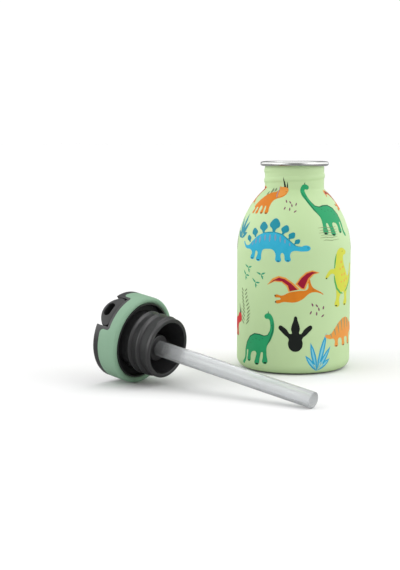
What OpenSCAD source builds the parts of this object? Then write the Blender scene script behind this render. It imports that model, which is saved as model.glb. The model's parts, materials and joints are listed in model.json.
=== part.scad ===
// Small single-wall steel drinking bottle with its straw lid unscrewed.
// The bottle stands open. The lid lies on its side beside it, resting on its grip ring and the straw's tip.
// Origin: centre of the bottle's base, on the surface it stands on. +Z is up through the mouth.

/* [Bottle] */
// Outside diameter of the body
body_d = 64; // [60:1:70]
// Overall height, base to top of the rolled lip
bottle_h = 116.2; // [110:0.2:125]
// Outside diameter of the neck, between the thread's turns
neck_d = 33.2; // [32:0.2:35]
// Outside diameter of the rolled lip
lip_d = 38.3; // [37:0.1:38.6]
// Thickness of the steel sheet
sheet_t = 0.5; // [0.4:0.05:0.6]
// Height at which the shoulder starts to curve in
shoulder_z = 66; // [60:1:68]
// Radius of the shoulder's curve
shoulder_r = 47; // [45:1:49]
// Radius where the body turns into the base
base_corner = 5.8; // [4:0.2:7]
// Height of the base plate's dish above the surface
dish_h = 2.4; // [1.5:0.1:3]

/* [Thread] */
// Rise of the thread in one turn
pitch = 5.5; // [5:0.1:6]
// Turns of thread rolled into the neck
neck_turns = 1.7; // [1.5:0.1:1.8]
// Turns of thread on the lid's plug
plug_turns = 2.6; // [2:0.1:2.8]
// Height that the neck's rolled thread stands out
roll_depth = 0.42; // [0.3:0.02:0.5]
// Outside diameter of the plug, between the thread's turns
plug_d = 30.4; // [30:0.1:30.8]
// Height of the plug's thread
ridge_depth = 1.3; // [1:0.05:1.3]

/* [Lid] */
// Outside diameter of the lid
lid_d = 46.6; // [46:0.2:48]
// Height of the lid's ring
ring_h = 15.4; // [15:0.1:16]
// Height of the bare lip above the grip sleeve
lip_h = 3.8; // [3:0.1:4.5]
// Inside diameter of the skirt that goes over the bottle's lip
skirt_d = 39; // [38.8:0.1:39.4]
// Outside diameter of the skirt at the lid's mouth
skirt_outer_d = 40.4; // [40:0.1:41]
// Length of the plug below the ring
plug_out = 16.5; // [16:0.1:18]
// Inside diameter of the plug
plug_bore_d = 27.4; // [26.6:0.1:27.6]
// Thickness of the sealing ring
gasket_t = 1.6; // [1.4:0.1:1.8]

/* [Spout] */
// Width of the folding spout
spout_w = 18.2; // [17:0.1:18.4]
// Thickness of the folding spout
spout_t = 8.2; // [8:0.1:8.4]
// Distance of the hinge behind the lid's axis
hinge_back = 3; // [2.6:0.1:3.2]
// Diameter of the hinge pins
pin_d = 2.5; // [2:0.1:2.8]
// Length of each hinge pin
pin_l = 8; // [7.6:0.1:8.4]
// Radial play of the spout on its pins
pin_play = 0.05; // [0.03:0.01:0.08]
// Width of the drinking hole
drink_w = 8; // [7:0.1:9]
// Height of the drinking hole
drink_h = 4; // [3.6:0.1:4.4]

/* [Straw] */
// Outside diameter of the straw
straw_d = 8.4; // [8:0.1:8.6]
// Inside diameter of the straw
straw_bore_d = 6.6; // [6.4:0.1:6.8]
// Length of the straw
straw_l = 98; // [80:1:98]
// Diameter of the boss that carries the straw's nipple
boss_d = 14; // [12:0.1:14]
// Length of the nipple inside the straw
nipple_l = 5.2; // [4:0.1:5.4]

/* [Lid at rest] */
// Place of the grip ring's lowest point, left of the bottle
lid_x = -84; // [-120:1:-78]
// Place of the grip ring's lowest point, behind the bottle's centre
lid_y = -50; // [-60:1:0]
// Heading of the straw, clockwise from +X
heading = 38; // [30:1:50]
// Turn of the spout about the lid's axis, away from straight up
roll = 45; // [30:1:60]

/* [Hidden] */
$fn = 96;
eps = 0.01;

// Bottle outline
body_r = body_d / 2;
neck_r = neck_d / 2;
foot_r = 1.5;
shoulder_cx = body_r - shoulder_r;
foot_cx = neck_r + foot_r;
centres_d = shoulder_r + foot_r;
foot_z = shoulder_z + sqrt(centres_d * centres_d - (foot_cx - shoulder_cx) * (foot_cx - shoulder_cx));
tangent_x = (foot_cx - shoulder_cx) / centres_d;
tangent_z = (foot_z - shoulder_z) / centres_d;
weld_z = 0.8;
ring_foot_r = 24.4;
curl_r = 1.25;
curl_z = bottle_h - curl_r;
curl_gap = 0.5;
roll_bottom = foot_z + 1.4;
roll_foot = 3.4;
roll_crest = 1.4;
groove_foot = 3;
groove_crest = 1.2;
dish_run = 1.6;

// Lid, along its own axis: 0 is the face that the sealing ring sits against, + is up when it is closed
ring_bottom = -4.8;
ring_top = ring_bottom + ring_h;
lip_z = ring_top - lip_h;
lid_r = lid_d / 2;
sleeve_t = 2;
sleeve_r = lid_r - sleeve_t;
sleeve_round = (lid_d - skirt_outer_d) / 4;
lip_round = 1;
skirt_short = 0.4;
skirt_l = 4;
border = 1.5;
flange_t = 1.6;
floor_z = flange_t + 1;
plug_end = ring_bottom - plug_out;
collar_r = 15.9;
collar_h = 2;
ridge_start = plug_end + 3;
ridge_foot = 3.4;
ridge_crest = 1;
boss_end = plug_end + 7.6;
nipple_end = boss_end - nipple_l;
port_r = 2.3;
wall_t = 1.5;
deck_t = 1.6;
gap = 0.3;
side_gap = 0.4;

// Spout, folded: it lies along +X from its hinge to the ring's edge
hinge_x = -hinge_back;
spout_z = floor_z + gap;
hinge_z = spout_z + spout_t / 2;
channel_w = spout_w + 2 * side_gap;
channel_back = hinge_x - spout_t / 2 - side_gap;
tip_r = lid_r - 0.3;
soft_x = 12.7;
dome_r = 11.9;
tongue_l = 5;
tongue_r = 3.3;
pin_out = 12.6;
boss_out = 14.2;
pin_boss_r = 3;
pin_end_gap = 0.2;
section_corner = 2.4;
relief = 1.6;
tongue_bore = 3;

// Air valve and port seal in the floor
seal_r = 4;
seal_seat_z = 0.8;
seal_rise = 0.6;
seal_gap = 0.15;
valve_x = 9;
valve_r = 3.6;
air_well_r = 2.9;
air_hole_r = 0.5;
air_ring_r = 2.2;
stem_hole_r = 1;
stem_r = 0.95;
skirt_t = 1;
stem_over = 0.5;
button_r = 1.3;
button_t = 0.7;

// Lid on its side: the grip ring's rounded edge and the straw's tip both touch the surface
contact_r = lid_r - sleeve_round;
contact_z = ring_bottom + sleeve_round;
straw_end = boss_end - straw_l;
drop = contact_r - straw_d / 2 - hinge_back * cos(roll);
reach = contact_z - straw_end;
tilt = asin(sleeve_round / sqrt(reach * reach + drop * drop)) + atan(drop / reach);
axis_h = contact_r * cos(tilt) + sleeve_round + 0.02;

// ---- shared shapes ----

// A closed spiral ridge around +Z that fades into its wall at both ends
module spiral_ridge(wall_r, depth, foot_w, crest_w, turns, bury) {
    steps = 30;
    count = round(turns * steps);
    fade = 5;
    function rise(i) = min(1, min(i, count - i) / fade);
    function crest(i) = wall_r - bury / 2 + (depth + bury / 2) * rise(i);
    function ring_at(i) = let (a = 360 * i / steps, z = pitch * i / steps) [
        for (p = [[wall_r - bury, -foot_w / 2], [crest(i), -crest_w / 2],
            [crest(i), crest_w / 2], [wall_r - bury, foot_w / 2]])
            [p[0] * cos(a), p[0] * sin(a), z + p[1]]
    ];
    points = [for (i = [0 : count]) each ring_at(i)];
    sides = [for (i = [0 : count - 1], k = [0 : 3])
        let (a = 4 * i + k, b = 4 * i + (k + 1) % 4)
        each [[a, b + 4, a + 4], [a, b, b + 4]]];
    last = 4 * count;
    ends = [[2, 1, 0], [3, 2, 0], [last, last + 1, last + 2], [last, last + 2, last + 3]];
    polyhedron(points, concat(sides, ends), convexity = 6);
}

// Half of the bottle's outline, moved in by t from its outside
module outline(t) {
    body = body_r - t;
    join_x = shoulder_cx + (shoulder_r - t) * tangent_x;
    join_z = shoulder_z + (shoulder_r - t) * tangent_z;
    translate([0, base_corner]) square([body, shoulder_z - base_corner]);
    intersection() {
        translate([body_r - base_corner, base_corner]) circle(base_corner - t);
        square([body_r, base_corner]);
    }
    translate([0, t]) square([body_r - base_corner, base_corner - t + eps]);
    intersection() {
        translate([shoulder_cx, shoulder_z]) circle(shoulder_r - t);
        translate([0, shoulder_z]) square([body, join_z - shoulder_z]);
    }
    difference() {
        translate([0, join_z - eps]) square([join_x, foot_z - join_z + eps]);
        translate([foot_cx, foot_z]) circle(foot_r + t);
    }
    translate([0, foot_z - eps]) square([neck_r - t, curl_z - foot_z + eps]);
}

// Points along an arc from angle a0 to a1
function arc(centre, r, a0, a1) =
    let (count = ceil(abs(a1 - a0) / 10))
    [for (i = [0 : count]) centre + r * [cos(a0 + (a1 - a0) * i / count), sin(a0 + (a1 - a0) * i / count)]];

// Section of the curled lip: the sheet turns over outwards, and its free edge stops short of the neck
module curl() {
    near = [neck_r - sheet_t + curl_r, curl_z];
    far = [lip_d / 2 - curl_r, curl_z];
    inner_r = curl_r - sheet_t;
    polygon(concat(
        [[neck_r - sheet_t, curl_z - 1]],
        arc(near, curl_r, 180, 90),
        arc(far, curl_r, 90, -90),
        [[neck_r + curl_gap, curl_z - curl_r], [neck_r + curl_gap, curl_z - inner_r]],
        arc(far, inner_r, -90, 90),
        arc(near, inner_r, 90, 180),
        [[neck_r, curl_z - 1]]));
}

// Lays the closed lid's frame on its side beside the bottle
module on_its_side() {
    translate([lid_x, lid_y, axis_h])
        rotate([0, 0, -heading])
            rotate([0, 90 + tilt, 0])
                rotate([0, 0, 180 + roll])
                    plug_up() children();
}

// Turns the lid's frame so that its plug points along +Z and its lower edge is at the origin
module plug_up() {
    rotate([180, 0, 0]) translate([0, 0, -contact_z]) children();
}

module tube(r_out, r_in, z0, z1) {
    translate([0, 0, z0]) difference() {
        cylinder(r = r_out, h = z1 - z0);
        translate([0, 0, -1]) cylinder(r = r_in, h = z1 - z0 + 2);
    }
}

// ---- bottle ----

// Drawn steel body with its shoulder, rolled thread and curled lip
module bottle_shell() {
    color([0.72, 0.85, 0.62]) difference() {
        union() {
            rotate_extrude() {
                difference() {
                    outline(0);
                    outline(sheet_t);
                    square([body_r, weld_z]);
                }
                curl();
            }
            translate([0, 0, roll_bottom])
                spiral_ridge(neck_r, roll_depth, roll_foot, roll_crest, neck_turns, sheet_t / 2);
        }
        translate([0, 0, roll_bottom])
            spiral_ridge(neck_r - sheet_t, roll_depth, groove_foot, groove_crest, neck_turns, 1);
    }
}

// Dished steel plate welded into the foot of the body
module base_plate() {
    color([0.7, 0.7, 0.72]) rotate_extrude() {
        intersection() {
            difference() {
                outline(0);
                outline(sheet_t);
            }
            translate([ring_foot_r, 0]) square([body_r, weld_z]);
        }
        polygon([[ring_foot_r + eps, 0], [ring_foot_r + eps, sheet_t], [ring_foot_r - dish_run, dish_h + sheet_t],
            [0, dish_h + sheet_t], [0, dish_h], [ring_foot_r - dish_run - sheet_t, dish_h]]);
    }
}

// ---- lid, in its own frame ----

// Opening in the ring and deck that the folded spout lies in
module spout_channel() {
    translate([channel_back, -channel_w / 2, floor_z]) cube([lid_r - channel_back + 1, channel_w, ring_top]);
}

// Part of the ring around the channel's mouth that the grip sleeve leaves bare
module channel_border() {
    translate([0, -channel_w / 2 - border, floor_z - border])
        cube([2 * lid_r, channel_w + 2 * border, ring_top]);
}

// Puts its child on the hinge axis, once on each side, pointing outwards from y
module both_sides(y) {
    for (s = [-1, 1]) translate([hinge_x, s * y, hinge_z]) rotate([-90 * s, 0, 0]) children();
}

// Moulded top of the lid, with its skirt and the channel for the spout
module cap_shell() {
    core_r = skirt_d / 2;
    color([0.12, 0.12, 0.12]) difference() {
        rotate_extrude() {
            translate([0, ring_bottom + skirt_short]) square([skirt_outer_d / 2, skirt_l]);
            translate([0, ring_bottom + 2 * sleeve_round])
                square([lid_r, ring_top - lip_round - ring_bottom - 2 * sleeve_round]);
            translate([0, ring_top - 2 * lip_round]) square([lid_r - lip_round, 2 * lip_round]);
            translate([lid_r - lip_round, ring_top - lip_round]) circle(lip_round);
        }
        // groove that the grip sleeve sits in
        difference() {
            tube(lid_r + 1, sleeve_r, ring_bottom + sleeve_round, lip_z);
            channel_border();
        }
        translate([0, 0, ring_bottom - 1]) cylinder(r = core_r, h = flange_t - ring_bottom + 1);
        // hollow under the deck, on both sides of the channel
        difference() {
            cylinder(r = core_r, h = ring_top - deck_t);
            translate([channel_back - wall_t, -channel_w / 2 - wall_t, -1])
                cube([2 * lid_r, channel_w + 2 * wall_t, 2 * lid_r]);
            both_sides(channel_w / 2) cylinder(r = pin_boss_r, h = boss_out - channel_w / 2);
        }
        spout_channel();
        // seat of the port seal
        translate([hinge_x, 0, 0]) cylinder(r = seal_r, h = floor_z + 1);
        // well that leads air to the valve
        translate([valve_x, 0, 0]) cylinder(r = air_well_r, h = floor_z + 1);
        both_sides(channel_w / 2 - 1) cylinder(r = pin_d / 2, h = boss_out);
    }
}

// Soft band around the ring
module grip_sleeve() {
    color([0.6, 0.75, 0.64]) difference() {
        rotate_extrude() difference() {
            union() {
                translate([sleeve_r, ring_bottom + sleeve_round])
                    square([sleeve_t, lip_z - ring_bottom - sleeve_round]);
                translate([skirt_outer_d / 2, ring_bottom + sleeve_round]) square([2 * sleeve_round, sleeve_round]);
                translate([lid_r - sleeve_round, ring_bottom + sleeve_round]) circle(sleeve_round);
            }
        }
        channel_border();
    }
}

// Threaded plug with the flange that closes the lid from below, the boss and the nipple
module thread_plug() {
    plug_r = plug_d / 2;
    color([0.14, 0.14, 0.14]) difference() {
        union() {
            translate([0, 0, plug_end]) cylinder(r = plug_r, h = flange_t - plug_end);
            translate([0, 0, plug_end]) cylinder(r = collar_r, h = collar_h);
            cylinder(r = skirt_d / 2, h = flange_t);
            translate([0, 0, ridge_start])
                spiral_ridge(plug_r, ridge_depth, ridge_foot, ridge_crest, plug_turns, 0.5);
        }
        difference() {
            translate([0, 0, plug_end - 1]) cylinder(r = plug_bore_d / 2, h = 1 - plug_end);
            translate([hinge_x, 0, boss_end]) cylinder(r = boss_d / 2, h = -boss_end + 1);
            translate([hinge_x, 0, nipple_end]) cylinder(r = straw_bore_d / 2 - pin_play, h = -nipple_end);
        }
        translate([hinge_x, 0, nipple_end - 1]) cylinder(r = port_r, h = flange_t - nipple_end + 2);
        // counterbore that the port seal drops into
        translate([hinge_x, 0, seal_seat_z]) cylinder(r = seal_r, h = flange_t);
        // hole for the valve's stem, and the air holes that its skirt covers
        translate([valve_x, 0, -1]) {
            cylinder(r = stem_hole_r, h = flange_t + 2);
            for (a = [60 : 120 : 300]) rotate([0, 0, a]) translate([air_ring_r, 0, 0])
                cylinder(r = air_hole_r, h = flange_t + 2);
        }
    }
}

// Silicone ring that the bottle's lip presses against
module lid_gasket() {
    color([0.2, 0.2, 0.2]) tube(skirt_d / 2 - 0.1, plug_d / 2 + 0.1, -gasket_t, 0);
}

// Silicone cup under the spout's barrel, where the drink passes
module port_seal() {
    color([0.75, 0.75, 0.72]) difference() {
        translate([hinge_x, 0, seal_seat_z]) cylinder(r = seal_r, h = spout_z + seal_rise - seal_seat_z);
        translate([hinge_x, 0, 0]) cylinder(r = port_r, h = hinge_z);
        translate([hinge_x, spout_w / 2, hinge_z]) rotate([90, 0, 0])
            cylinder(r = spout_t / 2 + seal_gap, h = spout_w);
    }
}

// Umbrella valve that lets air in as the bottle empties
module vent_valve() {
    color([0.75, 0.75, 0.72]) {
        translate([valve_x, 0, -skirt_t]) cylinder(r = valve_r, h = skirt_t);
        translate([valve_x, 0, -eps]) cylinder(r = stem_r, h = flange_t + stem_over);
        translate([valve_x, 0, flange_t]) cylinder(r = button_r, h = button_t);
    }
}

// Two steel stub pins that the spout turns on
module hinge_pins() {
    color([0.7, 0.7, 0.72]) both_sides(pin_out - pin_l) cylinder(r = pin_d / 2, h = pin_l);
}

// Cross-section of the spout: flat underneath, domed on top, seen along +X
module spout_section() {
    corner = section_corner;
    half = spout_w / 2;
    intersection() {
        union() {
            translate([-half + corner, 0]) square([spout_w - 2 * corner, spout_t]);
            translate([-half, corner]) square([spout_w, spout_t]);
            for (s = [-1, 1]) translate([s * (half - corner), corner]) circle(corner);
        }
        translate([0, spout_t - dome_r]) circle(dome_r);
    }
}

// Length of the spout's section from x0 to x1
module spout_bar(x0, x1) {
    translate([x0, 0, spout_z]) rotate([90, 0, 90]) linear_extrude(x1 - x0) spout_section();
}

// Rigid arm with the hinge barrel and the tongue that carries the mouthpiece
module spout_arm() {
    color([0.1, 0.1, 0.1]) difference() {
        union() {
            difference() {
                spout_bar(hinge_x, soft_x);
                // room for the raised edge of the port seal
                translate([hinge_x - 1, -spout_w / 2, spout_z - 1])
                    cube([seal_r + relief, spout_w, seal_rise + relief]);
            }
            translate([hinge_x, spout_w / 2, hinge_z]) rotate([90, 0, 0]) cylinder(r = spout_t / 2, h = spout_w);
            translate([soft_x - 1, 0, hinge_z]) rotate([0, 90, 0]) cylinder(r = tongue_r, h = tongue_l + 1);
        }
        translate([hinge_x - 10, 0, hinge_z]) rotate([0, 90, 0]) cylinder(r = port_r, h = 40);
        both_sides(pin_out - pin_l - pin_end_gap) cylinder(r = pin_d / 2 + pin_play, h = pin_l);
    }
}

// Soft tip, flush with the ring, with the oval drinking hole
module mouthpiece() {
    hole_z = hinge_z + 0.6;
    color([0.13, 0.13, 0.13]) difference() {
        intersection() {
            spout_bar(soft_x, lid_r);
            cylinder(r = tip_r, h = 20);
        }
        translate([soft_x - 1, 0, hinge_z]) rotate([0, 90, 0]) cylinder(r = tongue_r, h = tongue_l + 1);
        translate([soft_x, 0, hinge_z]) rotate([0, 90, 0]) cylinder(r = port_r, h = tongue_l + tongue_bore);
        // oval hole
        translate([soft_x + tongue_l + 1, 0, hole_z]) rotate([90, 0, 90]) linear_extrude(10) {
            square([drink_w - drink_h, drink_h], center = true);
            for (s = [-1, 1]) translate([s * (drink_w - drink_h) / 2, 0]) circle(drink_h / 2);
        }
    }
}

// Straw, pushed on the nipple up to the boss
module straw() {
    color([0.88, 0.9, 0.9]) translate([hinge_x, 0, 0]) tube(straw_d / 2, straw_bore_d / 2, straw_end, boss_end);
}

bottle_shell();
base_plate();
on_its_side() cap_shell();
on_its_side() grip_sleeve();
on_its_side() thread_plug();
on_its_side() lid_gasket();
on_its_side() port_seal();
on_its_side() vent_valve();
on_its_side() hinge_pins();
on_its_side() spout_arm();
on_its_side() mouthpiece();
on_its_side() straw();
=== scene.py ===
import json
import math

import bpy
from mathutils import Matrix, Vector


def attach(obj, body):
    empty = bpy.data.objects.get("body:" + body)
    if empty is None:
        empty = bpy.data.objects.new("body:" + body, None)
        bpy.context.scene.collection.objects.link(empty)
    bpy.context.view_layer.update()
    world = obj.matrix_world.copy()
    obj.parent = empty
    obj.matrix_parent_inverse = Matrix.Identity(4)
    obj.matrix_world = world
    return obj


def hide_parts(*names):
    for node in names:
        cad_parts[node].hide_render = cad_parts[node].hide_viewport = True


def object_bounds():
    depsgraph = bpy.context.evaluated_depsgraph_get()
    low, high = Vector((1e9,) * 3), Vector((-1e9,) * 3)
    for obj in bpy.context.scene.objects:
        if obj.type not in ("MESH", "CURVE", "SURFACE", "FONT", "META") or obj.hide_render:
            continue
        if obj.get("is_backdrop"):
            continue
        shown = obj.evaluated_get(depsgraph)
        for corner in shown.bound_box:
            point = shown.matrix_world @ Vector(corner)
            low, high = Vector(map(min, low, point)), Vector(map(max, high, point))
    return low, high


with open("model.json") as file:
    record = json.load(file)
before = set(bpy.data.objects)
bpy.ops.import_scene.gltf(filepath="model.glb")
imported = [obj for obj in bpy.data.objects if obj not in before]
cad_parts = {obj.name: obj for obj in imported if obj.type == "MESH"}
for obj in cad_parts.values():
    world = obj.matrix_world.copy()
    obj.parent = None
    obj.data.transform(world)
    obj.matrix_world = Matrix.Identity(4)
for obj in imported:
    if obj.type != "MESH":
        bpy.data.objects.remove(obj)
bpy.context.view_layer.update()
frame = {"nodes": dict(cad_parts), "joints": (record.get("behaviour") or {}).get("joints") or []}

scene = bpy.context.scene
scene.view_settings.view_transform = "Standard"


# ---- camera, floor and light ----
# The camera stands at table height in front of the bottle and looks slightly down.
# A pale floor and a white room that is dimmer on the camera's side give the soft studio light. Glossy
# surfaces see the floor painted a darker grey than it is, a painted dark reflection.
MM = 0.001
# The second tone is a darker grey painted on the floor only where glossy parts reflect it: a painted
# reflection.
FLOOR_TONE, REFLECTED_FLOOR_SHADE, BACKDROP, THROUGH_CLEAR = 0.76, 0.3, 1.05, 0.9
SOFTBOX_SIZE, SOFTBOX_WATTS = 0.7, 2.5


def deselect():
    if bpy.context.object and bpy.context.object.mode != "OBJECT":
        bpy.ops.object.mode_set(mode="OBJECT")
    bpy.ops.object.select_all(action="DESELECT")


def new_material(name):
    made = bpy.data.materials.new(name)
    made.use_nodes = True
    return made, made.node_tree.nodes, made.node_tree.links, made.node_tree.nodes["Principled BSDF"]


lens = bpy.data.cameras.new("camera")
lens.sensor_fit = "VERTICAL"
lens.sensor_height = 24
lens.lens = 52.26
camera = bpy.data.objects.new("camera", lens)
camera.location = (-0.0531, -0.700, 0.1307)
camera.rotation_euler = (math.radians(90 - 6.877), 0, 0)
scene.collection.objects.link(camera)
scene.camera = camera

deselect()
bpy.ops.mesh.primitive_plane_add(size=40)
floor = bpy.context.object
floor.name = "floor"
floor_paint, nodes, links, shader = new_material("studio_floor")
shader.inputs["Roughness"].default_value = 0.9
shader.inputs["Specular IOR Level"].default_value = 0.1
path = nodes.new("ShaderNodeLightPath")
# Painted reflection: glossy rays see the floor in the darker grey, which paints dark edges on the steel rim.
floor_reflection_shade = nodes.new("ShaderNodeMix")
floor_reflection_shade.data_type = "RGBA"
floor_reflection_shade.inputs["A"].default_value = (FLOOR_TONE, FLOOR_TONE, FLOOR_TONE, 1)
floor_reflection_shade.inputs["B"].default_value = (REFLECTED_FLOOR_SHADE, REFLECTED_FLOOR_SHADE, REFLECTED_FLOOR_SHADE, 1)
links.new(path.outputs["Is Glossy Ray"], floor_reflection_shade.inputs["Factor"])
links.new(floor_reflection_shade.outputs["Result"], shader.inputs["Base Color"])
floor.data.materials.append(floor_paint)
floor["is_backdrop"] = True

room = bpy.data.worlds.new("room")
scene.world = room
room.use_nodes = True
nodes, links = room.node_tree.nodes, room.node_tree.links
direction = nodes.new("ShaderNodeTexCoord")
split = nodes.new("ShaderNodeSeparateXYZ")
links.new(direction.outputs["Generated"], split.inputs[0])
sideways = nodes.new("ShaderNodeMath")
sideways.operation = "ABSOLUTE"
links.new(split.outputs["X"], sideways.inputs[0])
glows = []
for part, low, high, dim, bright in ((sideways.outputs[0], 0.18, 0.65, 0.24, 1.75),
    (split.outputs["Z"], 0.45, 0.95, 0.0, 0.80)):
    glow = nodes.new("ShaderNodeMapRange")
    glow.interpolation_type = "SMOOTHSTEP"
    glow.inputs["From Min"].default_value, glow.inputs["From Max"].default_value = low, high
    glow.inputs["To Min"].default_value, glow.inputs["To Max"].default_value = dim, bright
    links.new(part, glow.inputs["Value"])
    glows.append(glow.outputs["Result"])
brighter = nodes.new("ShaderNodeMath")
brighter.operation = "MAXIMUM"
links.new(glows[0], brighter.inputs[0])
links.new(glows[1], brighter.inputs[1])
seen = nodes.new("ShaderNodeLightPath")
backdrop = nodes.new("ShaderNodeMix")
clear = nodes.new("ShaderNodeMath")
clear.operation = "MULTIPLY_ADD"
clear.inputs[1].default_value = THROUGH_CLEAR
links.new(seen.outputs["Is Transmission Ray"], clear.inputs[0])
links.new(seen.outputs["Is Camera Ray"], clear.inputs[2])
links.new(clear.outputs[0], backdrop.inputs["Factor"])
links.new(brighter.outputs[0], backdrop.inputs["A"])
backdrop.inputs["B"].default_value = BACKDROP
links.new(backdrop.outputs["Result"], nodes["Background"].inputs["Strength"])
nodes["Background"].inputs["Color"].default_value = (1, 1, 1, 1)

overhead = bpy.data.lights.new("overhead", "SUN")
overhead.energy, overhead.angle = 0.75, math.radians(60)
lamp = bpy.data.objects.new("overhead", overhead)
lamp.rotation_euler = (math.radians(-12), math.radians(6), 0)
scene.collection.objects.link(lamp)
for side in (-1, 1):
    softbox = bpy.data.lights.new("softbox", "AREA")
    softbox.size, softbox.energy = SOFTBOX_SIZE, SOFTBOX_WATTS
    lamp = bpy.data.objects.new("softbox", softbox)
    lamp.location = (1.2 * side, -0.5, 0.7)
    lamp.rotation_euler = (Vector((0, 0, 0.05)) - lamp.location).to_track_quat("-Z", "Y").to_euler()
    scene.collection.objects.link(lamp)


# ---- painted steel body ----
# The body is one drawn steel shell with a powder coat outside, bare inside, its neck rolled into a thread
# and its mouth curled outwards. Coat and steel are two thin closed skins, one inside the other.
def build_grain_group():
    """Fine grain and broad, faint patches, as moulded and sprayed surfaces have."""
    group = bpy.data.node_groups.new("surface_grain", "ShaderNodeTree")
    group.interface.new_socket("Grain Scale", in_out="INPUT", socket_type="NodeSocketFloat")
    group.interface.new_socket("Patch Scale", in_out="INPUT", socket_type="NodeSocketFloat")
    group.interface.new_socket("Grain", in_out="OUTPUT", socket_type="NodeSocketFloat")
    group.interface.new_socket("Patches", in_out="OUTPUT", socket_type="NodeSocketFloat")
    entry, way_out = group.nodes.new("NodeGroupInput"), group.nodes.new("NodeGroupOutput")
    place = group.nodes.new("ShaderNodeTexCoord")
    for scale, output, detail in (("Grain Scale", "Grain", 2), ("Patch Scale", "Patches", 4)):
        noise = group.nodes.new("ShaderNodeTexNoise")
        noise.inputs["Detail"].default_value = detail
        group.links.new(place.outputs["Object"], noise.inputs["Vector"])
        group.links.new(entry.outputs[scale], noise.inputs["Scale"])
        group.links.new(noise.outputs["Fac"], way_out.inputs[output])
    return group


surface_grain = build_grain_group()


def finish(name, colour, shade, roughness, grain=2500, patches=60, bump=0.1, depth=0.02, **plain):
    """A finish whose colour and roughness drift between two values, with a fine grain.

    Values named in plain go straight on the shader.
    """
    made, nodes, links, shader = new_material(name)
    texture = nodes.new("ShaderNodeGroup")
    texture.node_tree = surface_grain
    texture.inputs["Grain Scale"].default_value = grain
    texture.inputs["Patch Scale"].default_value = patches
    tint = nodes.new("ShaderNodeMix")
    tint.data_type = "RGBA"
    tint.inputs["A"].default_value = (*colour, 1)
    tint.inputs["B"].default_value = (*shade, 1)
    links.new(texture.outputs["Patches"], tint.inputs["Factor"])
    links.new(tint.outputs["Result"], shader.inputs["Base Color"])
    gloss = nodes.new("ShaderNodeMapRange")
    gloss.inputs["From Min"].default_value = 0.3
    gloss.inputs["From Max"].default_value = 0.7
    gloss.inputs["To Min"].default_value = roughness[0]
    gloss.inputs["To Max"].default_value = roughness[1]
    links.new(texture.outputs["Patches"], gloss.inputs["Value"])
    links.new(gloss.outputs["Result"], shader.inputs["Roughness"])
    relief = nodes.new("ShaderNodeBump")
    relief.inputs["Strength"].default_value = bump
    relief.inputs["Distance"].default_value = depth * MM
    links.new(texture.outputs["Grain"], relief.inputs["Height"])
    links.new(relief.outputs["Normal"], shader.inputs["Normal"])
    for socket, value in plain.items():
        shader.inputs[socket.replace("_", " ")].default_value = value
    return made


def srgb(r, g, b):
    """A colour given as 0-255 display values, for the shader."""
    return tuple((c / 255 / 12.92) if c <= 10 else ((c / 255 + 0.055) / 1.055) ** 2.4 for c in (r, g, b))


BODY_R, NECK_R = 32.0, 16.6
CORNER_R, SHOULDER_Z, SHOULDER_R, SHOULDER_X = 5.8, 66.0, 47.0, -15.0
FOOT_R, FOOT_X, FOOT_Z = 1.5, 18.1, 101.45
WELD_Z, SHEET_T, COAT_T = 0.8, 0.5, 0.08
CURL_R, CURL_Z, CURL_NEAR, CURL_FAR = 1.25, 114.95, 17.35, 17.9
COAT_TOP = 113.7
THREAD_Z, PITCH, THREAD_TURNS, THREAD_DEPTH = 102.85, 5.5, 1.7, 0.42
THREAD_HALF_W, THREAD_SLOPE_W, THREAD_FADE = 1.7, 1.2, 0.17


def arc(x, z, r, start, end, count):
    return [(x + r * math.cos(math.radians(start + (end - start) * i / count)),
             z + r * math.sin(math.radians(start + (end - start) * i / count))) for i in range(count + 1)]


def body_outline(t, top):
    """(radius, height) points up the bottle's outside, moved in by t."""
    low = math.degrees(math.asin((CORNER_R - WELD_Z) / (CORNER_R - t)))
    lean = math.degrees(math.atan2(FOOT_Z - SHOULDER_Z, FOOT_X - SHOULDER_X))
    points = arc(BODY_R - CORNER_R, CORNER_R, CORNER_R - t, -low, 0, 8)
    points += [(BODY_R - t, CORNER_R + (SHOULDER_Z - CORNER_R) * i / 8) for i in range(1, 8)]
    points += arc(SHOULDER_X, SHOULDER_Z, SHOULDER_R - t, 0, lean, 30)
    points += arc(FOOT_X, FOOT_Z, FOOT_R + t, 180 + lean, 180, 6)[1:]
    rows = 36
    points += [(NECK_R - t, FOOT_Z + (top - FOOT_Z) * i / rows) for i in range(1, rows + 1)]
    return points


def thread_rise(angle, z):
    """How far the rolled thread stands out of the neck at this angle (radians) and height."""
    most = 0.0
    for turn in range(3):
        along = (angle % (2 * math.pi)) / (2 * math.pi) + turn
        if along > THREAD_TURNS:
            break
        off = abs(z - THREAD_Z - PITCH * along)
        slope = min(1, max(0, (THREAD_HALF_W - off) / THREAD_SLOPE_W))
        fade = min(1, along / THREAD_FADE, (THREAD_TURNS - along) / THREAD_FADE)
        most = max(most, THREAD_DEPTH * fade * slope * slope * (3 - 2 * slope))
    return most


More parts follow.
